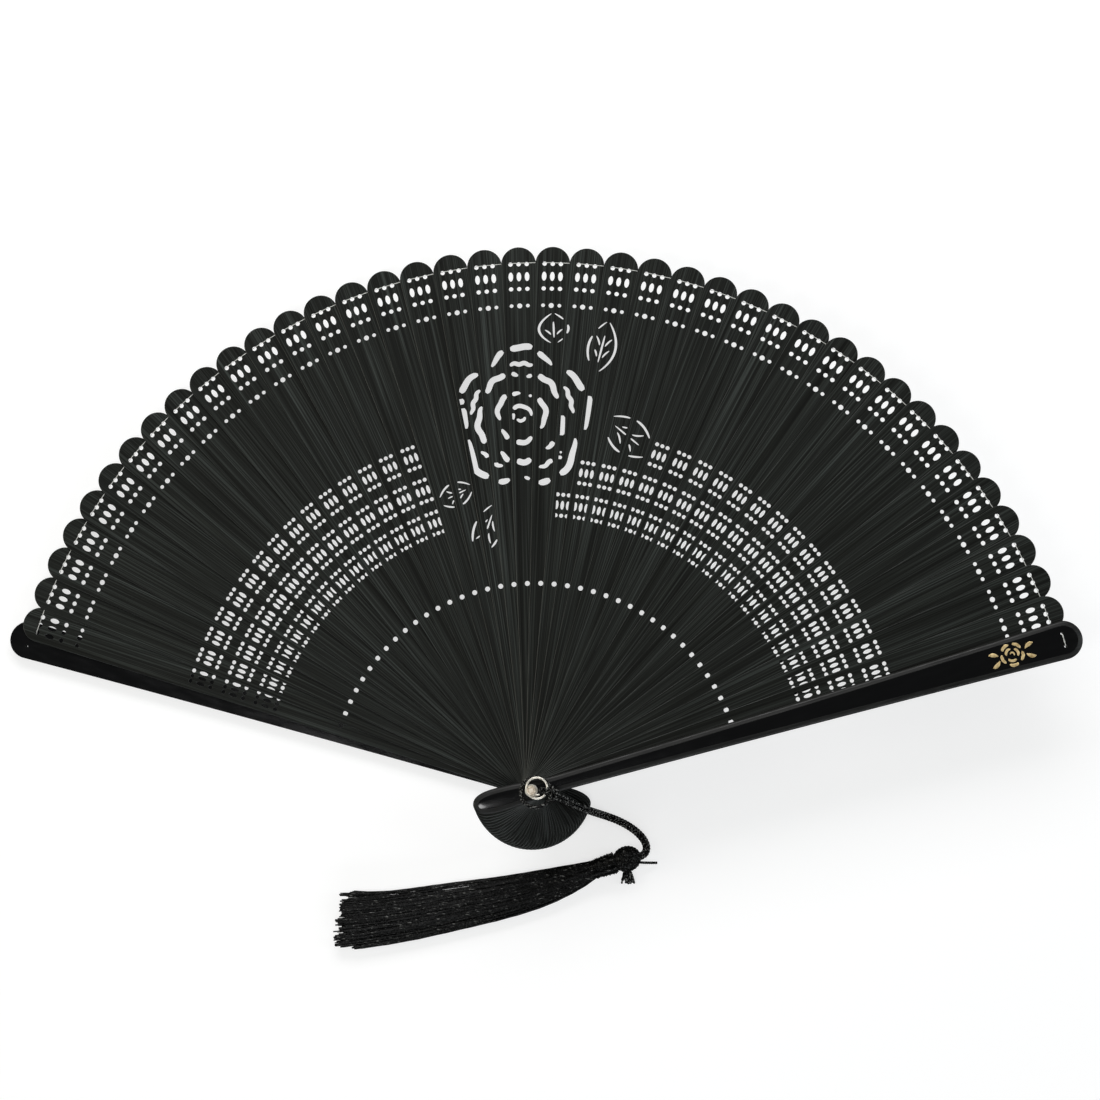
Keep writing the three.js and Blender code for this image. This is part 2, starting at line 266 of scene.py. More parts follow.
def set_bump(made, factor, depth, strength=1):
    """Bumps of the given depth in millimetres."""
    shader = made.node_tree.nodes["Principled BSDF"]
    node = made.node_tree.nodes.new("ShaderNodeBump")
    node.inputs["Distance"].default_value = depth * MM
    node.inputs["Strength"].default_value = strength
    made.node_tree.links.new(factor, node.inputs["Height"])
    made.node_tree.links.new(node.outputs["Normal"], shader.inputs["Normal"])


def dyed_wood():
    """Dark dyed wood: long fine grain with paler fibres, and some sticks darker than others."""
    made = principled("dyed_wood", (0.011, 0.012, 0.01), 0.6, specular=0.15)
    nodes, links = made.node_tree.nodes, made.node_tree.links
    grain = noise(made, (14, 2600, 1500), detail=5)
    streaks = noise(made, (6, 420, 1500), detail=3)
    fine = ramp(made, grain, [
        (0.32, (0.0035, 0.0038, 0.003)), (0.5, (0.0105, 0.0115, 0.0098)), (0.72, (0.042, 0.047, 0.043)),
    ])
    broad = ramp(made, streaks, [(0.3, (0.55, 0.55, 0.5)), (0.7, (1.35, 1.4, 1.42))])
    blend = nodes.new("ShaderNodeMix")
    blend.data_type = "RGBA"
    blend.blend_type = "MULTIPLY"
    blend.inputs["Factor"].default_value = 1
    links.new(fine, blend.inputs["A"])
    links.new(broad, blend.inputs["B"])
    links.new(blend.outputs["Result"], nodes["Principled BSDF"].inputs["Base Color"])
    set_roughness(made, streaks, 0.44, 0.62)
    set_bump(made, grain, 0.05, 0.7)
    return made


def edge_highlight_wood():
    """A lighter copy of the sticks' wood for their edges, which paints highlights along them, mottled by
    noise.
    """
    made = principled("edge_highlight_wood", (0.02, 0.022, 0.021), 0.4, specular=0.35)
    edge_light_mottle = noise(made, (70, 900, 900), detail=3)
    # Painted edge highlights, made lighter and darker in patches by the noise.
    set_colour(made, edge_light_mottle, [(0.3, (0.009, 0.01, 0.009)), (0.7, (0.045, 0.049, 0.046))])
    set_roughness(made, edge_light_mottle, 0.34, 0.5)
    return made


def face_lacquer():
    """Polished black lacquer, with the slight ripple of hand-rubbed coats."""
    made = principled("face_lacquer", (0.002, 0.002, 0.0022), 0.14, Coat_Weight=0.4, Coat_Roughness=0.05)
    set_roughness(made, noise(made, (120, 500, 120)), 0.1, 0.2)
    set_bump(made, noise(made, (45, 260, 100), detail=2), 0.03, 0.25)
    return made


def edge_lacquer():
    """The rubbed-down, satin edge of the lacquer, which shows the wood's grain."""
    made = principled("edge_lacquer", (0.009, 0.009, 0.0085), 0.45, specular=0.3)
    grain = noise(made, (60, 1400, 1400), detail=4)
    set_colour(made, grain, [(0.3, (0.004, 0.004, 0.0038)), (0.7, (0.018, 0.018, 0.0168))])
    set_roughness(made, noise(made, (200, 900, 900)), 0.34, 0.55)
    set_bump(made, grain, 0.03, 0.5)
    return made


def gilt():
    """Thin gilding over metal, worn in patches."""
    made = principled("gilt", (0.75, 0.55, 0.26), 0.34, metallic=0.4)
    patches = noise(made, (900, 900, 900), detail=4)
    set_colour(made, patches, [(0.3, (0.6, 0.42, 0.18)), (0.65, (0.88, 0.68, 0.36))])
    set_roughness(made, patches, 0.25, 0.5)
    set_bump(made, patches, 0.02, 0.5)
    return made


def worn_nickel():
    """A nickel-plated rivet whose warm base metal shows in patches."""
    made = principled("worn_nickel", (0.86, 0.76, 0.62), 0.3, metallic=0.5)
    patches = noise(made, (1500, 1500, 1500), detail=4)
    set_colour(made, patches, [(0.3, (0.68, 0.56, 0.42)), (0.6, (0.95, 0.86, 0.73))])
    set_roughness(made, patches, 0.3, 0.45)
    set_bump(made, patches, 0.015, 0.5)
    return made


def steel_wire():
    """Bright drawn wire with fine scratches."""
    made = principled("steel_wire", (0.92, 0.88, 0.79), 0.28, metallic=0.5)
    scratches = noise(made, (2500, 2500, 600), detail=3)
    set_colour(made, scratches, [(0.3, (0.82, 0.76, 0.66)), (0.6, (0.98, 0.95, 0.87))])
    set_roughness(made, scratches, 0.26, 0.42)
    return made


def black_yarn(name, grain, glint_from=0.62):
    """Black rayon yarn: silky, with glints painted into its base colour, which turns bright where the
    grain's noise is above glint_from."""
    made = principled(name, (0.002, 0.002, 0.002), 0.25, specular=0.14)
    fibres = noise(made, grain, detail=4)
    # Painted glints: the last stop makes the base colour bright where the noise is above glint_from.
    set_colour(made, fibres, [
        (0.35, (0.0012, 0.0012, 0.0011)),
        (glint_from, (0.004, 0.004, 0.0038)),
        (glint_from + 0.08, (0.2, 0.2, 0.19)),
    ])
    set_roughness(made, noise(made, (1100, 1100, 1100), detail=2), 0.1, 0.36)
    set_bump(made, fibres, 0.09, 0.8)
    return made


def pale_thread():
    """Off-white binding thread."""
    made = principled("pale_thread", (0.5, 0.5, 0.47), 0.45, specular=0.4)
    fibres = noise(made, (3000, 3000, 3000), detail=2)
    set_colour(made, fibres, [(0.3, (0.4, 0.4, 0.37)), (0.7, (0.8, 0.8, 0.77))])
    set_bump(made, fibres, 0.02, 0.5)
    return made


# ---------------------------------------------------------------- curves and meshes

def quadratic(a, b, c, steps):
    """Points of a quadratic Bezier curve, without its last."""
    return [
        tuple((1 - t) ** 2 * p + 2 * t * (1 - t) * q + t * t * r for p, q, r in zip(a, b, c))
        for t in (k / steps for k in range(steps))
    ]


def cubic(a, b, c, d, steps):
    """Points of a cubic Bezier curve, without its last."""
    return [
        tuple((1 - t) ** 3 * p + 3 * t * (1 - t) ** 2 * q + 3 * t * t * (1 - t) * r + t**3 * s
              for p, q, r, s in zip(a, b, c, d))
        for t in (k / steps for k in range(steps))
    ]


def through(points, per_span):
    """A smooth centripetal Catmull-Rom curve through 3-D points."""
    points = [Vector(p) for p in points]
    padded = [2 * points[0] - points[1], *points, 2 * points[-1] - points[-2]]
    curve = []
    for a, b, c, d in zip(padded, padded[1:], padded[2:], padded[3:]):
        first, middle, last = ((q - p).length ** 0.5 for p, q in ((a, b), (b, c), (c, d)))
        leave = ((b - a) / first - (c - a) / (first + middle) + (c - b) / middle) * middle
        arrive = ((c - b) / middle - (d - b) / (middle + last) + (d - c) / last) * middle
        for k in range(per_span):
            t = k / per_span
            curve.append(
                b * (2 * t**3 - 3 * t**2 + 1) + leave * (t**3 - 2 * t**2 + t)
                + c * (3 * t**2 - 2 * t**3) + arrive * (t**3 - t**2)
            )
    return [*curve, points[-1]]


def evenly(points, step):
    """The same line with points a step apart."""
    lengths = [0]
    for a, b in zip(points, points[1:]):
        lengths.append(lengths[-1] + (b - a).length)
    count = max(2, round(lengths[-1] / step))
    spaced, at = [], 0
    for k in range(count + 1):
        want = lengths[-1] * k / count
        while at < len(points) - 2 and lengths[at + 1] < want:
            at += 1
        share = (want - lengths[at]) / (lengths[at + 1] - lengths[at])
        spaced.append(points[at].lerp(points[at + 1], share))
    return spaced


def link(name, mesh, materials):
    """A new object for a mesh, with its materials."""
    piece = bpy.data.objects.new(name, mesh)
    for made in materials:
        mesh.materials.append(made)
    bpy.context.collection.objects.link(piece)
    return piece


def finish_mesh(name, bm, materials, sharp=35):
    """Turns millimetres into metres and a bmesh into a linked object."""
    bmesh.ops.recalc_face_normals(bm, faces=bm.faces)
    bmesh.ops.scale(bm, vec=(MM, MM, MM), verts=bm.verts)
    mesh = bpy.data.meshes.new(name)
    bm.to_mesh(mesh)
    bm.free()
    mesh.shade_smooth()
    mesh.set_sharp_from_angle(angle=math.radians(sharp))
    return link(name, mesh, materials)


def stand_for(piece, body, slot, *nodes):
    """The piece rides on a body and replaces CAD nodes. The slot is not used."""
    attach(piece, body)
    if nodes:
        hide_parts(*nodes)
    return piece


def add_rings(bm, rings, closed=False, capped=True, index=0):
    """Quads between rings of points, with one face on each open end."""
    rings = [[bm.verts.new(p) for p in ring] for ring in rings]
    pairs = list(zip(rings, rings[1:]))
    if closed:
        pairs.append((rings[-1], rings[0]))
    for low, high in pairs:
        for a in range(len(low)):
            b = (a + 1) % len(low)
            bm.faces.new((low[a], low[b], high[b], high[a])).material_index = index
    if capped and not closed:
        bm.faces.new(rings[0][::-1]).material_index = index
        bm.faces.new(rings[-1]).material_index = index
    return rings


def add_sweep(bm, path, section, closed=False):
    """Sweeps section(k), a ring of (across, up) offsets, along a path of points."""
    count = len(path)
    rings = []
    across = None
    for k, point in enumerate(path):
        if closed:
            ahead = path[(k + 1) % count] - path[k - 1]
        else:
            ahead = path[min(k + 1, count - 1)] - path[max(k - 1, 0)]
        ahead = ahead.normalized()
        if across is None:
            start = Vector((0, 0, 1)) if abs(ahead.z) < 0.9 else Vector((0, 1, 0))
            across = start.cross(ahead).normalized()
        across = (across - ahead * across.dot(ahead)).normalized()
        up = ahead.cross(across)
        rings.append([point + across * x + up * y for x, y in section(k)])
    add_rings(bm, rings, closed=closed)


def round_section(radius, sides):
    """A round wire's or thread's section."""
    ring = [(radius * math.cos(2 * math.pi * k / sides), radius * math.sin(2 * math.pi * k / sides))
            for k in range(sides)]
    return lambda _: ring


def plied_section(radius, step, pitch=PLY_PITCH, plies=3, sides=18, depth=0.26):
    """The section of a laid cord: lobes that turn once in each pitch."""
    def ring(k):
        turn = 2 * math.pi * k * step / pitch
        points = []
        for side in range(sides):
            angle = 2 * math.pi * side / sides
            lobe = abs(math.cos(plies / 2 * (angle - turn)))
            reach = radius * (1 - depth + depth * lobe)
            points.append((reach * math.cos(angle), reach * math.sin(angle)))
        return points
    return ring


def lathe(bm, profile, sides=40):
    """Turns a closed profile of (radius, height) points about the rivet's axis."""
    rings = []
    for k in range(sides):
        angle = 2 * math.pi * k / sides
        rings.append([(r * math.cos(angle), r * math.sin(angle), z) for r, z in profile])
    add_rings(bm, rings, closed=True)


def inset(loop, distance):
    """A closed 2-D loop moved to its left by a distance, point by point."""
    moved = []
    for k, (x, y) in enumerate(loop):
        before, after = loop[k - 1], loop[(k + 1) % len(loop)]
        dx, dy = after[0] - before[0], after[1] - before[1]
        size = math.hypot(dx, dy)
        moved.append((x - dy / size * distance, y + dx / size * distance))
    return moved


def plate(name, walls, materials):
    """A flat piece from its walls: its outline, then its holes. Each wall is a closed loop and its
    profile of (inset, height) pairs, from the underside up. The faces have the first material and
    the walls the second."""
    bm = bmesh.new()
    bottom, top = [], []
    for loop, steps in walls:
        rings = [[(x, y, z) for x, y in inset(loop, distance)] for distance, z in steps]
        rings = add_rings(bm, rings, capped=False, index=1)
        for edges, ring in ((bottom, rings[0]), (top, rings[-1])):
            edges.extend(bm.edges.get((ring[k - 1], ring[k])) for k in range(len(ring)))
    for edges in (bottom, top):
        bmesh.ops.triangle_fill(bm, use_beauty=True, edges=edges)
    return finish_mesh(name, bm, materials)


def leaf_outline(tip_half, shoulder, steps=10):
    """A leaf's outline, anticlockwise, pointing along +X from the rivet."""
    lower = quadratic((-HEAD_LENGTH, 0), (-HEAD_LENGTH, -HEAD_HALF), (-HEAD_ROUND, -HEAD_HALF), steps)
    lower += cubic((-HEAD_ROUND, -HEAD_HALF), (-HEAD_ROUND / 4, -HEAD_HALF), (0, -NECK_HALF),
                   (NECK_AT, -NECK_HALF), steps)
    lower += quadratic((NECK_AT, -NECK_HALF), (WAIST_AT, -WAIST_HALF), (shoulder, -tip_half), 2 * steps)
    for k in range(steps):
        turn = math.pi / 2 * (k / steps - 1)
        lower.append((shoulder + tip_half * math.cos(turn), tip_half * math.sin(turn)))
    upper = [(x, -y) for x, y in reversed(lower[1:])]
    return [*lower, (shoulder + tip_half, 0), *upper]


def leaf_half(distance):
    """Half a stick's width at a distance from the rivet, on its blade."""
    a, b = STICK_SHOULDER - 2 * WAIST_AT + NECK_AT, 2 * (WAIST_AT - NECK_AT)
    t = (-b + math.sqrt(b * b + 4 * a * (distance - NECK_AT))) / (2 * a)
    return (1 - t) ** 2 * NECK_HALF + 2 * t * (1 - t) * WAIST_HALF + t * t * STICK_TIP_HALF


def oval(x, y, half_x, half_y, sides=14):
    """A hole's loop, clockwise."""
    return [
        (x + half_x * math.cos(2 * math.pi * k / sides), y - half_y * math.sin(2 * math.pi * k / sides))
        for k in range(sides)
    ]


# ---------------------------------------------------------------- rose pattern

def petal_stroke(middle, direction, out, radius, reach, width, steps=40, stretch=1):
    """A petal's edge: an arc about a point some way out from the flower's middle, with a waved lip."""
    turn = math.radians(direction)
    stroke = []
    for k in range(steps + 1):
        s = 2 * k / steps - 1
        angle = turn + math.radians(reach) * s
        lip = radius + 0.16 * width * min(1, radius / 8) * math.cos(2.6 * math.pi * s + direction)
        half = width / 2 * (1.08 - 0.55 * abs(s) ** 3)
        x = out * math.cos(turn) + lip * math.cos(angle)
        y = out * math.sin(turn) + lip * math.sin(angle)
        stroke.append((middle[0] + x, middle[1] + y * stretch, half))
    return stroke


def line_stroke(start, bend, end, width, steps=24, tip=0.55):
    """A curved line that thins at both ends to a share of its width."""
    points = quadratic(start, bend, end, steps) + [end]
    return [(x, y, width / 2 * (tip + (1 - tip) * math.sin(math.pi * k / steps)))
            for k, (x, y) in enumerate(points)]


def leaf_strokes(base, tip, half, width, veins=2):
    """A leaf's two sides, its midrib and pairs of veins."""
    along = Vector((tip[0] - base[0], tip[1] - base[1]))
    side = Vector((-along.y, along.x)).normalized() * half
    base, tip = Vector(base), Vector(tip)
    middle = (base + tip) / 2
    strokes = [line_stroke(tuple(base + along * 0.04 + side * 0.25 * s),
                           tuple(middle + side * 1.9 * s),
                           tuple(tip - along * 0.02 + side * 0.12 * s), width) for s in (-1, 1)]
    strokes.append(line_stroke(tuple(base + along * 0.2), tuple(middle), tuple(base + along * 0.72),
                               width * 0.8))
    for k in range(veins):
        root = base + along * (0.3 + 0.22 * k)
        for s in (-1, 1):
            reach = root + along * 0.16 + side * 0.62 * s
            strokes.append(line_stroke(tuple(root + side * 0.22 * s), tuple((root + reach) / 2),
                                       tuple(reach), width * 0.75, steps=12))
    return strokes


def rose_strokes():
    """A rose seen from above, with leaves round it, over the middle of the fan."""
    strokes = [
        petal_stroke(ROSE_CENTRE, 100, 0, 4, 95, 1.5),
        petal_stroke(ROSE_CENTRE, 285, 0, 1.5, 75, 1.2),
    ]
    for count, first, out, radius, reach, width in [
        (3, 20, 2.6, 6.6, 66, 1.9),
        (5, 52, 6.4, 9.4, 50, 2.1),
        (5, 90, 0, 18.6, 15, 1.6),
        (5, 90, 12, 12.4, 63, 2.3),
    ]:
        for k in range(count):
            direction = first + 360 / count * k
            uneven = radius * (1 + 0.03 * math.sin(5 * k + radius))
            strokes.append(petal_stroke(ROSE_CENTRE, direction, out, uneven, reach, width,
                                        stretch=ROSE_STRETCH))
    strokes += leaf_strokes((7.5, 163), (7, 174.5), 5.2, 0.9, veins=1)
    strokes += leaf_strokes((22.5, 152), (27.5, 171), 4.8, 0.9)
    strokes += leaf_strokes((26.5, 135), (43, 121), 6.2, 0.9)
    strokes += leaf_strokes((-22.5, 110.5), (-35, 104.5), 4.2, 0.8)
    strokes += leaf_strokes((-14, 104), (-20.5, 84), 4.6, 0.85)
    return strokes


def stroke_loop(stroke):
    """The closed outline of a stroke with rounded ends, clockwise."""
    left, right = [], []
    rounding = {0: 0.5, 1: 0.85}
    stroke = [(x, y, half * rounding.get(min(k, len(stroke) - 1 - k), 1))
              for k, (x, y, half) in enumerate(stroke)]
    for k, (x, y, half) in enumerate(stroke):
        before, after = stroke[max(k - 1, 0)], stroke[min(k + 1, len(stroke) - 1)]
        dx, dy = after[0] - before[0], after[1] - before[1]
        size = math.hypot(dx, dy)
        left.append((x - dy / size * half, y + dx / size * half))
        right.append((x + dy / size * half, y - dx / size * half))
    return left + right[::-1]


# ---------------------------------------------------------------- sticks

def band_is_cut(number, band):
    """Whether a stick has a band's slots, which stop short of the rose on both sides."""
    return number <= BAND_LAST_LOW or number >= BAND_FIRST_HIGH[band]


def stick_holes(number):
    """The pivot hole and the straight rows of dots and slots."""
    holes = [oval(0, 0, PIVOT_HOLE, PIVOT_HOLE, 20), oval(INNER_DOT_AT, 0, INNER_DOT, INNER_DOT)]
    for distance, columns, half_length, half_width in TIP_ROWS:
        holes += [oval(distance, column, half_length, half_width) for column in columns]
    for band, distance in enumerate(BAND_ROWS):
        if not band_is_cut(number, band):
            continue
        for column in BAND_COLUMNS:
            holes.append(oval(distance, column, SLOT_HALF_LENGTH, SLOT_HALF_WIDTH))
            for side in (-1, 1):
                holes.append(oval(distance + side * BAND_DOT_OFFSET, column, DOT, DOT, 10))
    return holes


def clear_half(distance):
    """Half the width of the strip of a stick that no neighbour covers."""
    return math.radians(STICK_PITCH) * distance - leaf_half(distance)


def rose_holes(number, angle, strokes):
    """The parts of the rose's strokes that fall on a stick's uncovered strip. Where a petal's stroke
    would run along between two strips, it moves to the edge of one of them."""
    turn = math.radians(angle)
    cos, sin = math.cos(turn), math.sin(turn)
    holes = []
    for stroke in strokes:
        placed = [(x * cos + y * sin, y * cos - x * sin, half) for x, y, half in stroke]
        broad = max(half for _, _, half in stroke) > BROAD_STROKE
        run = []
        for k, (along, aside, half) in enumerate([*placed, (0, 0, 0)]):
            before, after = placed[max(k - 1, 0)], placed[min(k + 1, len(placed) - 1)]
            limit = clear_half(along) - 0.3 * half if along > NECK_AT else 0
            beyond = math.radians(STICK_PITCH) * along - limit
            lengthwise = abs(after[1] - before[1]) < 0.6 * abs(after[0] - before[0])
            if broad and lengthwise and limit <= aside < beyond:
                aside = limit - 0.01
            on_band = any(abs(along - distance) < BAND_HALF and band_is_cut(number, band)
                          for band, distance in enumerate(BAND_ROWS))
            if abs(aside) < limit and not on_band:
                run.append((along, aside, half))
                continue
            if len(run) > 3:
                holes.append(stroke_loop(run))
            run = []
    return holes


def heights(node):
    """A CAD node's underside and top."""
    low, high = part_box(node)
    return low[2] / MM, high[2] / MM


def straight_wall(low, high, edge):
    """The profile of an upright wall whose two edges are broken."""
    return [(edge, low), (0, low + edge), (0, high - edge), (edge, high)]


def make_sticks(wood, painted_edge_light, thread):
    """Each stick lies at its own angle, which the range of its joint gives."""
    outline = leaf_outline(STICK_TIP_HALF, STICK_SHOULDER)
    strokes = rose_strokes()
    for number in range(1, STICK_COUNT + 1):
        node = f"stick_{number:02d}"
        low, high = heights(node)
        angle = FRONT_ANGLE + max(joints[node]["range_deg"])
        holes = stick_holes(number) + rose_holes(number, angle, strokes)
        walls = [(outline, straight_wall(low, high, STICK_EDGE))]
        walls += [(hole, straight_wall(low, high, STICK_HOLE_EDGE)) for hole in holes]
        # The walls take the lighter edge material, which paints highlights along the sticks' edges.
        stick = plate(f"leaf_{number:02d}", walls, [wood, painted_edge_light])
        stick.rotation_euler.z = math.radians(angle)
        stand_for(stick, node, "blackwood", node)
        ribbon = thread_on_stick(number, low, high, thread)
        ribbon.rotation_euler.z = math.radians(angle)
        stand_for(ribbon, node, "thread")


def thread_on_stick(number, low, high, thread):
    """The binding thread: under the stick's left edge, up through its left hole, and over to its right."""
    half = THREAD_THICKNESS / 2
    under, over = low - THREAD_GAP - half, high + THREAD_GAP + half
    edge = leaf_half(THREAD_ROW) - 0.1
    route = [(edge, under), (THREAD_HOLE + 0.5, under), (THREAD_HOLE, under + 0.03),
             (THREAD_HOLE - 0.02, (under + over) / 2), (THREAD_HOLE - 0.04, over - 0.03),
             (THREAD_HOLE - 0.5, over), (-edge, over)]
    path = [Vector((THREAD_ROW + 0.35, aside, z)) for aside, z in route]
    wide = THREAD_WIDTH / 2
    bm = bmesh.new()
    ring = [(wide, 0), (wide * 0.7, half), (-wide * 0.7, half), (-wide, 0), (-wide * 0.7, -half),
            (wide * 0.7, -half)]
    add_sweep(bm, path, lambda _: ring)
    return finish_mesh(f"thread_{number:02d}", bm, [thread])


# ---------------------------------------------------------------- guards

def guard_profile(low, high, outside_up):
    """Flat inside, rounded over outside, with a slightly crowned face."""
    steps = 6
    turns = [math.pi / 2 * k / steps for k in range(steps + 1)]
    thickness = high - low
    side = thickness - GUARD_CROWN - GUARD_BEVEL
    profile = [(GUARD_EDGE, 0), (0, GUARD_EDGE)]
    profile += [(GUARD_BEVEL * (1 - math.cos(turn)), side + GUARD_BEVEL * math.sin(turn)) for turn in turns]
    profile += [(GUARD_BEVEL + 0.35, thickness - GUARD_CROWN * 0.4), (GUARD_BEVEL + 0.7, thickness)]
    if outside_up:
        return [(aside, low + rise) for aside, rise in profile]
    return [(aside, high - rise) for aside, rise in reversed(profile)]


def make_guard(name, node, body, angle, outside_up, face, edge_finish):
    """A guard. The rear one has a pocket in its outside for the rivet's head."""
    low, high = heights(node)
    edge = GUARD_HOLE_EDGE
    straight = straight_wall(low, high, edge)
    pivot = straight
    if not outside_up:
        pocket = HEAD_POCKET - PIVOT_HOLE
        pivot = [(pocket + edge, low), (pocket, low + edge), (pocket, low + POCKET_DEPTH),
                 (0, low + POCKET_DEPTH), (0, high - edge), (edge, high)]
    walls = [(leaf_outline(GUARD_TIP_HALF, GUARD_SHOULDER, 14), guard_profile(low, high, outside_up)),
             (oval(0, 0, PIVOT_HOLE, PIVOT_HOLE, 24), pivot)]
    for side in (-1, 1):
        walls.append((oval(GUARD_SHOULDER, side * STITCH_HALF, STITCH_HOLE, STITCH_HOLE, 12), straight))
    guard = plate(name, walls, [face, edge_finish])
    guard.rotation_euler.z = math.radians(angle)
    return stand_for(guard, body, "lacquer", node)


def make_inlay(metal):
    """A small rose between two sprigs, in raised metal strokes on the front guard."""
    centre = (GUARD_SHOULDER - INLAY_FROM_SHOULDER, 0)
    strokes = [petal_stroke(centre, 60, 0, 0.75, 100, 0.5, 14)]
    for count, first, out, radius, reach, width in [(3, 15, 0.6, 1.65, 56, 0.85), (5, 50, 1.45, 2.4, 41, 1)]:
        for k in range(count):
            strokes.append(petal_stroke(centre, first + 360 / count * k, out, radius, reach, width, 14))
    for x, y, away in [(-4.9, 0.7, 3.3), (-4.8, -1.1, 3), (4.9, 0.9, 3.3), (5, -1, 3.1)]:
        side = math.copysign(away, x)
        start, end = (centre[0] + x, y), (centre[0] + x + side, y * 2.5)
        strokes.append(line_stroke(start, (centre[0] + x + side * 0.5, y * 2.7), end, 1.4, 12, tip=0.25))
    low, _ = heights("rose_inlay")
    bm = bmesh.new()
    for stroke in strokes:
        loop = stroke_loop(stroke)
        add_rings(bm, [[(x, y, z) for x, y in inset(loop, -aside)]
                       for aside, z in ((0, low), (0, low + 0.08), (0.08, low + 0.13))])
    inlay = finish_mesh("inlay", bm, [metal])
    inlay.rotation_euler.z = math.radians(FRONT_ANGLE)
    stand_for(inlay, "front", "gilt", "rose_inlay")


def make_stitches(thread):
    """The binding thread's end, stitched through two holes of the front guard."""
    _, top = heights("front_guard")
    bm = bmesh.new()
    for wander, lift in ((0.12, 0.16), (-0.1, 0.2)):
        route = [Vector((GUARD_SHOULDER + wander * math.sin(k), STITCH_HALF * (1 - k / 4),
                         top + (lift if 0 < k < 8 else -0.5))) for k in range(9)]
        add_sweep(bm, through(route, 4), round_section(STITCH_RADIUS, 6))
    stitch = finish_mesh("stitch", bm, [thread])
    stitch.rotation_euler.z = math.radians(FRONT_ANGLE)
    stand_for(stitch, "front", "thread", "thread_stitch")


# ---------------------------------------------------------------- rivet, eye and ring

def make_rivet(nickel):
    """The rivet's shank and its flush rear head."""
    low, high = heights("rivet_pin")
    shoulder = low + RIVET_HEAD_HEIGHT
    bm = bmesh.new()
    lathe(bm, [
        (AXIS_RADIUS, low), (RIVET_HEAD_RADIUS - METAL_RIM, low), (RIVET_HEAD_RADIUS, low + METAL_RIM),
        (RIVET_HEAD_RADIUS, shoulder), (PIN_RADIUS, shoulder),
        (PIN_RADIUS, high - METAL_RIM), (PIN_RADIUS - METAL_RIM, high), (AXIS_RADIUS, high),
    ])
    stand_for(finish_mesh("rivet", bm, [nickel]), "front", "rivet_metal", "rivet_pin")


def make_collar(nickel):
    """The domed washer on the rivet's front end."""
    low, high = heights("rivet_collar")
    inner = PIN_RADIUS + COLLAR_GAP
    bm = bmesh.new()
    lathe(bm, [
        (inner, low), (COLLAR_RADIUS - METAL_RIM, low), (COLLAR_RADIUS, low + METAL_RIM),
        (COLLAR_RADIUS, high - 2 * METAL_RIM), (COLLAR_RADIUS - METAL_RIM, high - METAL_RIM / 2),
        (inner + METAL_RIM, high), (inner, high - METAL_RIM),
    ])
    stand_for(finish_mesh("collar", bm, [nickel]), "front", "rivet_metal", "rivet_collar")


def make_eye(wire):
    """A coil of wire round the rivet, which ends in a straight tail."""
    bottom = heights("wire_eye")[0] + WIRE_RADIUS
    last = math.radians(EYE_TAIL_ANGLE)
    count = 60
    path = []
    for k in range(count + 1):
        turn = last - 2 * math.pi * EYE_TURNS * (1 - k / count)
        path.append(Vector((EYE_RADIUS * math.cos(turn), EYE_RADIUS * math.sin(turn),
                            bottom + EYE_TURNS * EYE_RISE * k / count)))
    tail = Vector((-math.sin(last), math.cos(last), 0))
    path += [path[-1] + tail * EYE_TAIL_LENGTH * share for share in (0.25, 0.5, 0.75, 1)]
    bm = bmesh.new()
    add_sweep(bm, path, round_section(WIRE_RADIUS, 14))
    stand_for(finish_mesh("eye", bm, [wire], sharp=60), "front", "wire", "wire_eye")


def make_ring(wire):
    """The loose ring, which lies flat."""
    low, high = (Vector(corner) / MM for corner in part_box("ring"))
    centre, radius = (low + high) / 2, (high.x - low.x) / 2 - WIRE_RADIUS
    path = [centre + Vector((radius * math.cos(math.pi * k / 36), radius * math.sin(math.pi * k / 36), 0))
            for k in range(72)]
    bm = bmesh.new()
    add_sweep(bm, path, round_section(WIRE_RADIUS, 14), closed=True)
    stand_for(finish_mesh("split_ring", bm, [wire], sharp=60), "ring", "wire", "ring")


# ---------------------------------------------------------------- cord

def strand_route(side):
    """A strand's points: the cord's route, moved half the strands' spacing to one side."""
    route = [Vector(p) for p in [*CORD_ROUTE, CORD_TUCK]]
    moved = []
    for k, point in enumerate(route):
        before, after = route[max(k - 1, 0)], route[min(k + 1, len(route) - 1)]
        across = Vector((before.y - after.y, after.x - before.x, 0)).normalized()
        moved.append(point + across * side * STRAND_SPACING / 2)
    return moved


def make_cord(yarn):
    """The two plied strands, laid in opposite hands. The plies' crests stand a little proud."""
    strands = []
    for side, node in ((1, "cord_strand_left"), (-1, "cord_strand_right")):
        path = evenly(through(strand_route(side), 12), CORD_STEP)
        bm = bmesh.new()
        add_sweep(bm, path, plied_section(CORD_DIAMETER / 2 + 0.08, side * CORD_STEP))
        strand = finish_mesh(node.replace("cord_strand", "plied_strand"), bm, [yarn], sharp=80)
        stand_for(strand, "front", "silk", node)
        strands.append((strand, path))
    return strands


def wrap_turns(centre_line, turns, across_reach, up_reach):
    """Turns wound round the doubled cord along a short centre line."""
    wrap = []
    for k, point in enumerate(centre_line):
        ahead = centre_line[min(k + 1, len(centre_line) - 1)] - centre_line[max(k - 1, 0)]
        across = Vector((-ahead.y, ahead.x, 0)).normalized()
        up = ahead.normalized().cross(across)
        turn = 2 * math.pi * turns * k / len(centre_line)
        wrap.append(point + across * across_reach * math.cos(turn) + up * up_reach * math.sin(turn))
    return wrap


def add_bight(bm, centre):
    """The loop of cord round the rivet."""
    count = round(2 * math.pi * HITCH_RADIUS / HITCH_STEP)
    turns = [2 * math.pi * k / count for k in range(count)]
    loop = [centre + HITCH_RADIUS * Vector((math.cos(turn), math.sin(turn), 0)) for turn in turns]
    pitch = 2 * math.pi * HITCH_RADIUS / 9
    step = 2 * math.pi * HITCH_RADIUS / count
    add_sweep(bm, loop, plied_section(CORD_DIAMETER / 2, step, pitch), closed=True)


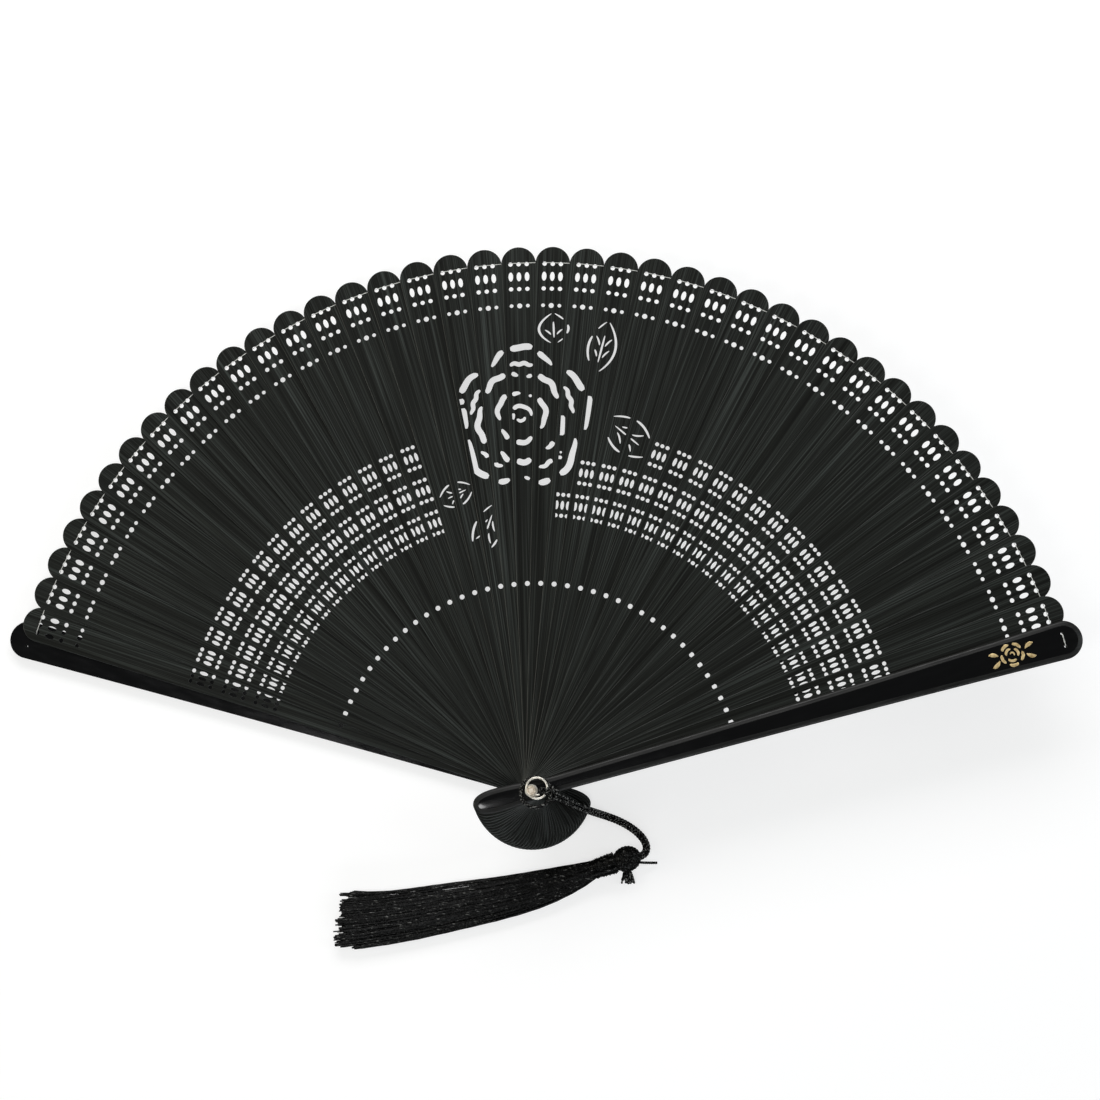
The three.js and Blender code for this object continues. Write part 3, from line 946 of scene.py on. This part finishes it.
def add_knot(bm, knot, centre):
    """The small upright knot inside the ring, and the two ends that join it to the loop."""
    turns, count = 2.5, 90
    wrap = []
    for k in range(count + 1):
        share = k / count
        turn = 2 * math.pi * turns * share
        reach = (KNOT_RADIUS - 0.45) * math.sin(math.pi * (0.2 + 0.6 * share)) ** 0.5
        wrap.append(knot + Vector((reach * math.cos(turn), reach * math.sin(turn),
                                   0.5 + (KNOT_HEIGHT - 1) * share)))
    add_sweep(bm, evenly(wrap, HITCH_STEP), plied_section(0.5, HITCH_STEP))
    for side in (-1, 1):
        route = [knot + Vector((0.4, side * 0.4, 0.8)), knot + Vector((1.6, side * 0.55, 0.6)),
                 centre + Vector((HITCH_RADIUS, side * 0.5, 0.05))]
        add_sweep(bm, evenly(through(route, 10), HITCH_STEP), plied_section(0.5, HITCH_STEP))


def make_hitch(yarn):
    """The cord's bight round the rivet, its knot inside the ring, and the turns that draw it up."""
    low, _ = heights("cord_hitch")
    centre = Vector((*HITCH_CENTRE, low + CORD_DIAMETER / 2))
    bm = bmesh.new()
    add_bight(bm, centre)
    add_knot(bm, Vector((*KNOT_CENTRE, low)), centre)
    wrapped = evenly(through(CORD_ROUTE[1:5], 24), 0.06)[13:55]
    turns = evenly(wrap_turns(wrapped, 2.4, 1.9, 1.25), HITCH_STEP)
    add_sweep(bm, turns, plied_section(0.6, HITCH_STEP, ARM_PITCH))
    for route in HITCH_ARMS:
        add_sweep(bm, evenly(through(route, 10), HITCH_STEP), plied_section(0.62, HITCH_STEP, ARM_PITCH))
    hitch = finish_mesh("hitch", bm, [yarn], sharp=80)
    stand_for(hitch, "front", "silk", "cord_hitch")


# ---------------------------------------------------------------- tassel

def tassel_axes():
    """The tassel's own directions: towards its free end, across it on the floor, and up."""
    turn = math.radians(TASSEL_ANGLE)
    along = Vector((math.cos(turn), math.sin(turn), 0))
    across = Vector((-math.sin(turn), math.cos(turn), 0))
    return along, across, Vector((0, 0, 1))


def node_middle(node):
    low, high = (Vector(corner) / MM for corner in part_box(node))
    return (low + high) / 2


def make_head(yarn):
    """A ball wound with yarn, under a net of strands that cross each other."""
    along, across, up = tassel_axes()
    centre = node_middle("tassel_head")

    def on_ball(polar, turn, lift):
        aside = across * math.cos(turn) + up * math.sin(turn)
        return (centre + along * HEAD_HALF_LENGTH * lift * math.cos(polar)
                + aside * HEAD_HALF_WIDTH * lift * math.sin(polar))

    bm = bmesh.new()
    add_rings(bm, [[on_ball(math.pi * k / 16, 2 * math.pi * j / 24, 0.93) for j in range(24)]
                   for k in range(1, 16)])
    turns, per_turn = 13, 30
    wound = [on_ball(0.2 + (math.pi - 0.4) * k / (turns * per_turn), 2 * math.pi * k / per_turn, 0.95)
             for k in range(turns * per_turn + 1)]
    add_sweep(bm, wound, round_section(0.38, 6))
    net, steps = 15, 44
    for hand in (1, -1):
        for strand in range(net):
            path = []
            for k in range(steps + 1):
                polar = 0.16 + (math.pi - 0.32) * k / steps
                turn = hand * 1.5 * math.pi * k / steps + 2 * math.pi * strand / net
                weave = 0.022 * hand * math.sin(net * hand * 1.5 * math.pi * k / steps)
                path.append(on_ball(polar, turn, 1.01 + weave))
            add_sweep(bm, path, round_section(0.27, 6))
    return stand_for(finish_mesh("head", bm, [yarn], sharp=80), "front", "silk", "tassel_head")


def make_binding(yarn):
    """Close turns of yarn round the neck, from inside the head to over the skirt's root."""
    along, across, up = tassel_axes()
    centre = node_middle("tassel_binding")
    start, end, wrap = BINDING_START, BINDING_END, 0.25

    def radius(at):
        return 3.42 + 0.22 * math.cos(math.pi * (at - start) / (end - start)) - 0.25 * max(0, at - 3.4)

    def around(at, turn, reach):
        return centre + along * at + (across * math.cos(turn) + up * math.sin(turn)) * reach

    bm = bmesh.new()
    rings = [[around(at, 2 * math.pi * j / 28, radius(at) - 0.05) for j in range(28)]
             for at in (start + (end - start) * k / 12 for k in range(13))]
    add_rings(bm, rings)
    for hand, pitch, thick in ((1, 0.5, wrap), (-1, 2.3, 0.17), (1, 2.9, 0.15)):
        turns = (end - start - 2 * wrap) / pitch
        count = round(turns * 30)
        path = []
        for k in range(count + 1):
            turn = hand * 2 * math.pi * turns * k / count + pitch
            at = start + wrap + (end - start - 2 * wrap) * k / count
            path.append(around(at, turn, radius(at) + (0.28 if pitch > 1 else 0)))
        add_sweep(bm, path, round_section(thick, 6))
    return stand_for(finish_mesh("binding", bm, [yarn], sharp=80), "front", "silk", "tassel_binding")


def skirt_edges(neck, across):
    """The skirt's upper and lower edge on the floor, as the same number of points from the neck."""
    top_line = [(neck - across * NECK_RADIUS)[:2], (-31.4, -35), (-73.4, -37.8)]
    low_line = [(neck + across * NECK_RADIUS)[:2], (6, -45), (-25, -51.6), (-73.4, -59)]
    upper = quadratic(*top_line, YARN_STEPS) + [top_line[-1]]
    lower = cubic(*low_line, YARN_STEPS) + [low_line[-1]]
    return [Vector(p) for p in upper], [Vector(p) for p in lower]


def yarn_path(edges, neck, aside, lift, drift, phase, end, stray):
    """One yarn's points: aside and lift place it in the bundle, and end is where it is cut."""
    upper, lower = edges
    middle_z = SKIRT_FLOOR + SKIRT_HEIGHT / 2
    height = (SKIRT_HEIGHT - 0.4) / 2
    path = []
    for k in range(YARN_STEPS + 1):
        t = min(k, end) / YARN_STEPS
        at = t * YARN_STEPS
        a = int(min(at, YARN_STEPS - 1))
        high = upper[a].lerp(upper[a + 1], at - a)
        low = lower[a].lerp(lower[a + 1], at - a)
        spread = max(-1, min(1, aside + drift * t * 2 + 0.015 * math.sin(9 * t + phase)))
        flat = (high + low) / 2 + (low - high) / 2 * spread * (0.97 + 0.03 * t)
        flat += (high - low).normalized() * 0.35 * t * math.sin(11 * t + 2)
        if stray:
            flat += (high - low).normalized() * STRAY_LIFT * max(0, (t - 0.72) / 0.2) ** 2
        raised = neck.z * (1 - t) ** 3 + middle_z * (1 - (1 - t) ** 3)
        thick = NECK_RADIUS * (1 - t) ** 3 + height * (1 - (1 - t) ** 3)
        room = math.sqrt(max(0.05, 1 - 0.75 * spread * spread))
        z = raised + thick * lift * room * 0.97 + 0.12 * math.sin(14 * t + phase)
        path.append(Vector((*flat, z)))
        if k > end:
            break
    return path


def make_skirt(yarn):
    """Hundreds of yarns that fan out in locks from the neck to a ragged end."""
    along, across, _ = tassel_axes()
    neck = node_middle("tassel_binding") + along * NECK_FROM_BINDING
    edges = skirt_edges(neck, across)
    bm = bmesh.new()
    lock_ends = [rng.uniform(0.955, 1) for _ in range(LOCK_COUNT)]
    lock_drifts = [rng.gauss(0, 0.05) for _ in range(LOCK_COUNT)]
    for _ in range(YARN_COUNT):
        reach, turn = math.sqrt(rng.random()), rng.uniform(0, 2 * math.pi)
        aside, lift = reach * math.cos(turn), reach * math.sin(turn)
        lock = min(int((aside + 1) / 2 * LOCK_COUNT), LOCK_COUNT - 1)
        stray = aside < STRAY_FROM
        drift, phase = lock_drifts[lock] + rng.gauss(0, 0.03), rng.uniform(0, 2 * math.pi)
        end = YARN_STEPS * (lock_ends[lock] - rng.uniform(0, 0.02)) * (1 - 0.03 * abs(aside) ** 6)
        if stray:
            end = YARN_STEPS * rng.uniform(0.9, 0.93)
        path = yarn_path(edges, neck, aside, lift, drift, phase, end, stray)
        radius = YARN_RADIUS * rng.uniform(0.8, 1.15)
        add_sweep(bm, path, crimped_section(radius, rng.uniform(0, 6)))
    return stand_for(finish_mesh("skirt", bm, [yarn], sharp=80), "front", "silk", "tassel_skirt")


def crimped_section(radius, phase, sides=5):
    """A yarn's section, which swells and narrows along it."""
    def ring(k):
        swell = radius * (1 + 0.16 * math.sin(2.1 * k + phase))
        return [(swell * math.cos(2 * math.pi * j / sides), swell * math.sin(2 * math.pi * j / sides))
                for j in range(sides)]
    return ring


def make_sealed_end(yarn):
    """The cord's sealed end, which sticks out of the head."""
    bm = bmesh.new()
    route = [Vector((37.2, -26, 3.9)), Vector((39.35, -26.3, 3.2)), Vector((44.8, -26.5, 1))]
    add_sweep(bm, evenly(through(route, 10), END_STEP), plied_section(0.52, END_STEP, END_PITCH))
    return stand_for(finish_mesh("sealed_end", bm, [yarn], sharp=80), "front", "silk", "cord_end")


def make_tuft(yarn):
    """A small tuft of cut yarns below the head."""
    low, high = (Vector(corner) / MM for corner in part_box("tassel_tuft"))
    bm = bmesh.new()
    for k in range(TUFT_YARNS):
        share = (k + 0.5) / TUFT_YARNS
        root = Vector((32.8 + 2 * share, high.y + 1.4, 2.6 + 0.6 * math.sin(3 * k)))
        tip = Vector((low.x + (high.x - low.x) * share + rng.uniform(-0.3, 0.3),
                      low.y + rng.uniform(0, 1.6), low.z + 0.35 + rng.uniform(0, 1)))
        bend = (root + tip) / 2 + Vector((rng.uniform(-0.3, 0.3), 0, 0.5))
        add_sweep(bm, evenly(through([root, bend, tip], 8), 0.3), crimped_section(0.36, k, 7))
    return stand_for(finish_mesh("tuft", bm, [yarn], sharp=80), "front", "silk", "tassel_tuft")


# ---------------------------------------------------------------- the whole fan

make_camera()
cord_yarn = black_yarn("cord_yarn", (1500, 1500, 1500), glint_from=0.55)
tassel_yarn = black_yarn("tassel_yarn", (500, 2200, 2200))
strands = make_cord(cord_yarn)
make_hitch(cord_yarn)
head = make_head(tassel_yarn)
binding = make_binding(tassel_yarn)
make_skirt(tassel_yarn)
sealed_end = make_sealed_end(cord_yarn)
tuft = make_tuft(cord_yarn)

thread = pale_thread()
face = face_lacquer()
edge_finish = edge_lacquer()
# The second material paints highlights on the sticks' edges.
make_sticks(dyed_wood(), edge_highlight_wood(), thread)
make_guard("front_leaf", "front_guard", "front", FRONT_ANGLE, True, face, edge_finish)
make_guard("rear_leaf", "rear_guard", "rear", REAR_ANGLE, False, face, edge_finish)
make_inlay(gilt())
make_stitches(thread)
nickel = worn_nickel()
wire = steel_wire()
make_rivet(nickel)
make_collar(nickel)
make_eye(wire)
make_ring(wire)
make_floor()
make_world()
make_lights()
